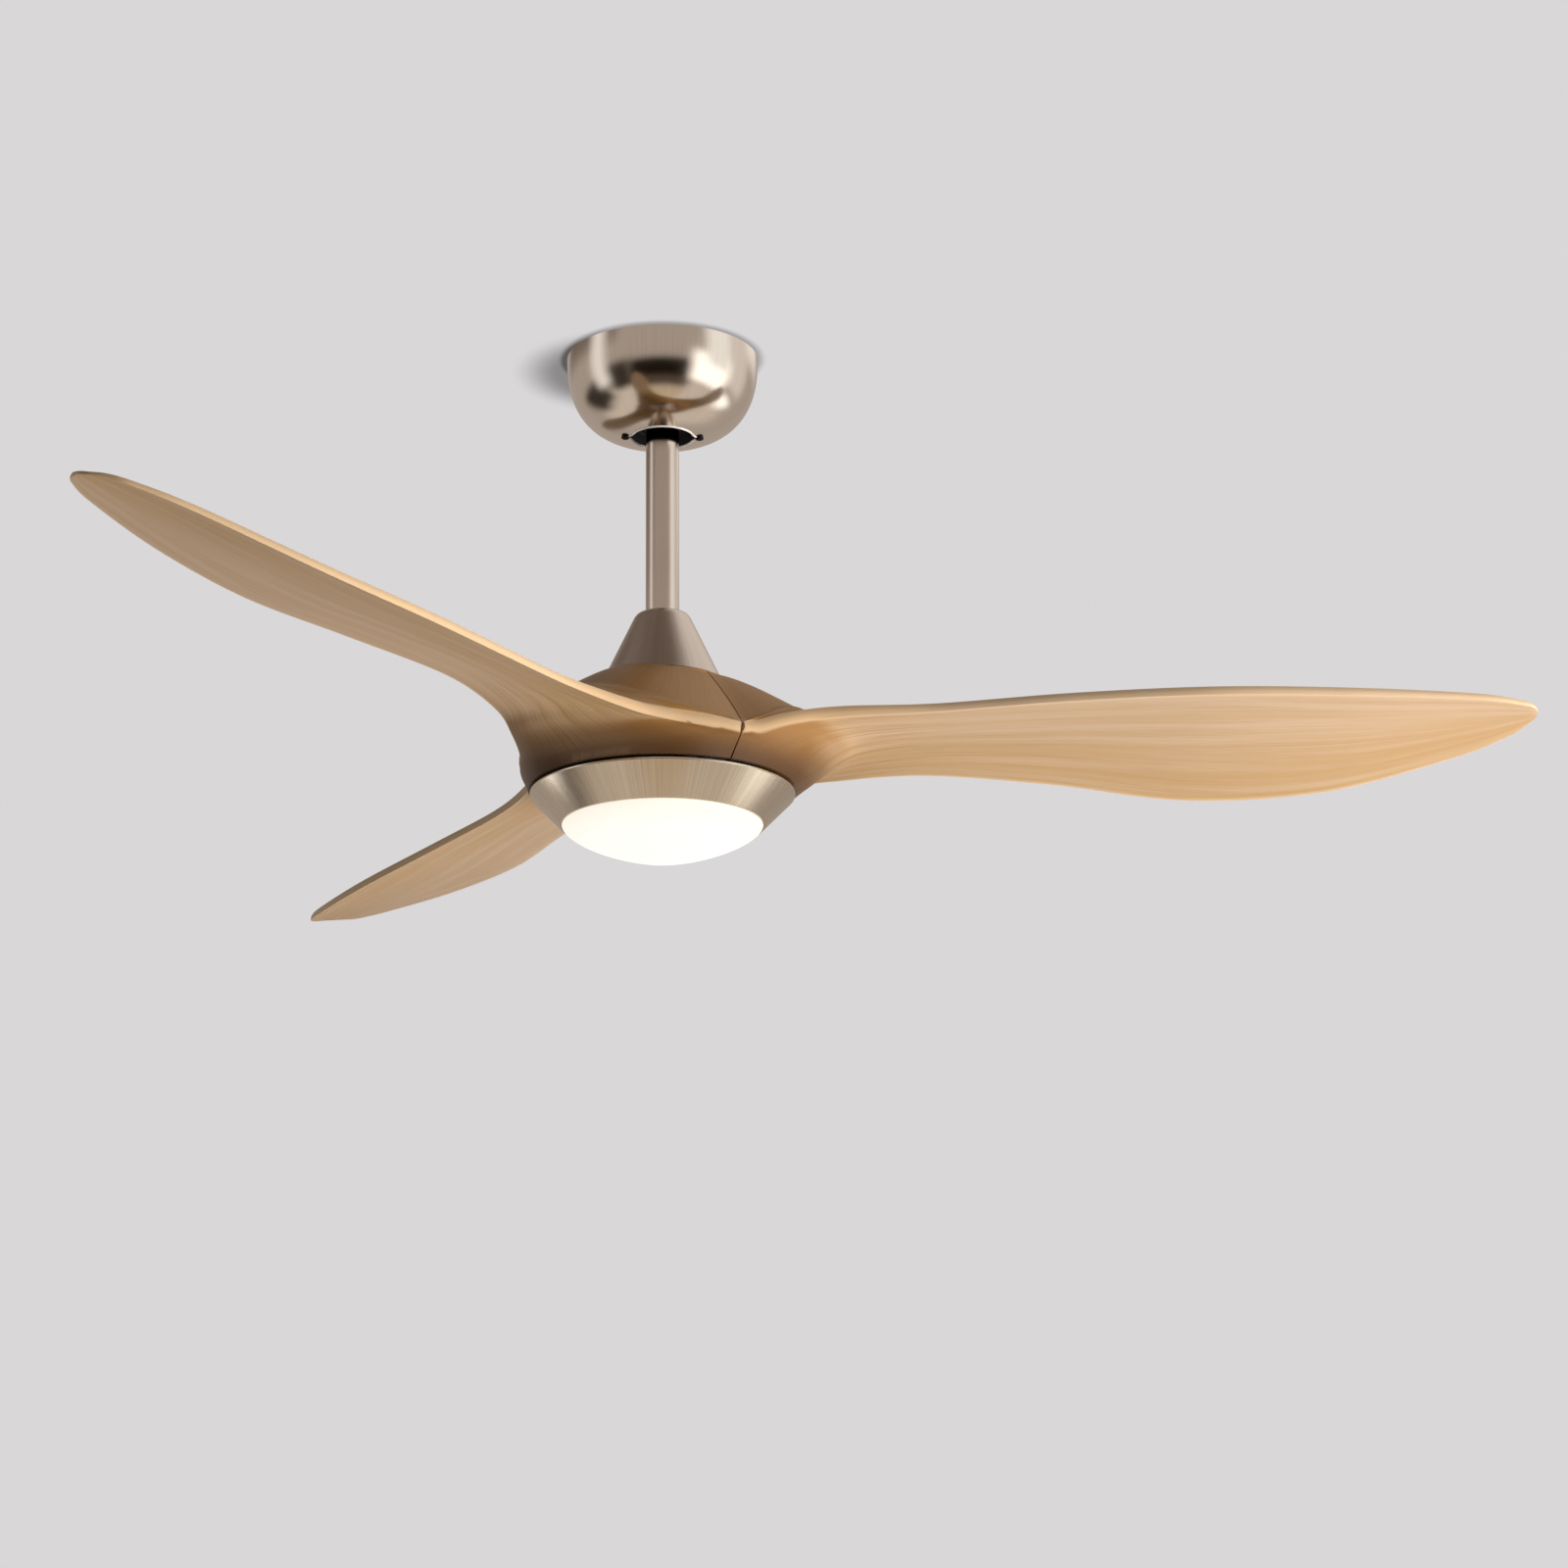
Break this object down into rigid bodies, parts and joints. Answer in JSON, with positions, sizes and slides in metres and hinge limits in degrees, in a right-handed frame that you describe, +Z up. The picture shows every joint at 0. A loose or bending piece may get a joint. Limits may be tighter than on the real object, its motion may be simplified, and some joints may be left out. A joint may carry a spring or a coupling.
{
  "type": "ceiling fan with light",
  "caption": "Ceiling fan on a short downrod with sculpted wood-grain blades that merge into a swept hub and a round domed light below.",
  "frame": {"origin": "centre of the hanger bracket's top face, where the fan's upright axis meets the ceiling", "axes": "+Z up along the fan's axis, out of the bracket into the ceiling; +X along the first blade at rest"},
  "size_m": [1.0532, 1.1525, 0.4096],
  "materials": {
    "nickel": "satin polished nickel plate",
    "cover_nickel": "brushed nickel plate, fine upright brushing",
    "ring_nickel": "brushed nickel plate with a bright bevelled rim",
    "zinc_steel": "zinc plated pressed steel",
    "black_steel": "blackened steel",
    "bearing_steel": "ground bearing steel",
    "lamination_steel": "stacked lamination steel, lacquered",
    "copper_winding": "enamelled copper wire",
    "brass_fixing": "turned brass",
    "cast_yoke": "black painted steel",
    "white_pan": "white painted steel",
    "black_plastic": "moulded black plastic",
    "white_plastic": "moulded white plastic",
    "black_rubber": "moulded rubber",
    "oak_grain": "moulded plastic with a light oak wood grain and a satin lacquer",
    "opal_lens": "opal diffusing plastic, lit warm white"
  },
  "bodies": {
    "ceiling": {"hanger_bracket": "black_steel", "canopy": "nickel", "canopy_screw_left": "black_steel", "canopy_screw_right": "black_steel", "ground_screw": "brass_fixing", "receiver_case": "black_plastic", "receiver_lid": "black_plastic", "terminal_block": "white_plastic"},
    "swivel": {"seat_liner": "black_rubber"},
    "hanging": {"hanger_ball": "black_plastic", "ball_pin": "zinc_steel", "ball_set_screw": "zinc_steel", "downrod": "nickel", "motor_yoke": "cast_yoke", "yoke_set_screw": "black_steel", "clevis_pin": "zinc_steel", "hairpin_clip": "zinc_steel", "coupling_cover": "cover_nickel", "motor_shaft": "zinc_steel", "stator_core": "lamination_steel", "winding_upper": "copper_winding", "winding_lower": "copper_winding", "upper_bearing_inner": "bearing_steel", "lower_bearing_inner": "bearing_steel", "light_mount_plate": "zinc_steel", "shaft_nut": "brass_fixing", "light_ring": "ring_nickel", "driver_pan": "white_pan", "light_screw_1": "zinc_steel", "light_screw_2": "zinc_steel", "light_screw_3": "zinc_steel", "led_driver": "white_plastic", "led_board": "white_plastic"},
    "rotor": {"rotor_upper_shell": "zinc_steel", "rotor_lower_shell": "zinc_steel", "magnet_ring": "black_steel", "upper_bearing_outer": "bearing_steel", "lower_bearing_outer": "bearing_steel", "blade_1": "oak_grain", "blade_2": "oak_grain", "blade_3": "oak_grain", "blade_screw_1": "zinc_steel", "blade_screw_2": "zinc_steel", "blade_screw_3": "zinc_steel", "blade_screw_4": "zinc_steel", "blade_screw_5": "zinc_steel", "blade_screw_6": "zinc_steel"},
    "diffuser": {"lens": "opal_lens"}
  },
  "joints": [
    {"name": "swing_x", "type": "hinge", "parent": "ceiling", "child": "swivel", "pos_m": [0, 0, -0.041], "axis": [1, 0, 0], "range_deg": [-12, 12]},
    {"name": "swing_y", "type": "hinge", "parent": "swivel", "child": "hanging", "pos_m": [0, 0, -0.041], "axis": [0, 1, 0], "range_deg": [-12, 12]},
    {"name": "rotor_spin", "type": "hinge", "parent": "hanging", "child": "rotor", "pos_m": [0, 0, -0.32], "axis": [0, 0, 1], "continuous": true},
    {"name": "lens_twist", "type": "hinge", "parent": "hanging", "child": "diffuser", "pos_m": [0, 0, -0.38], "axis": [0, 0, 1], "range_deg": [0, 20]}
  ]
}
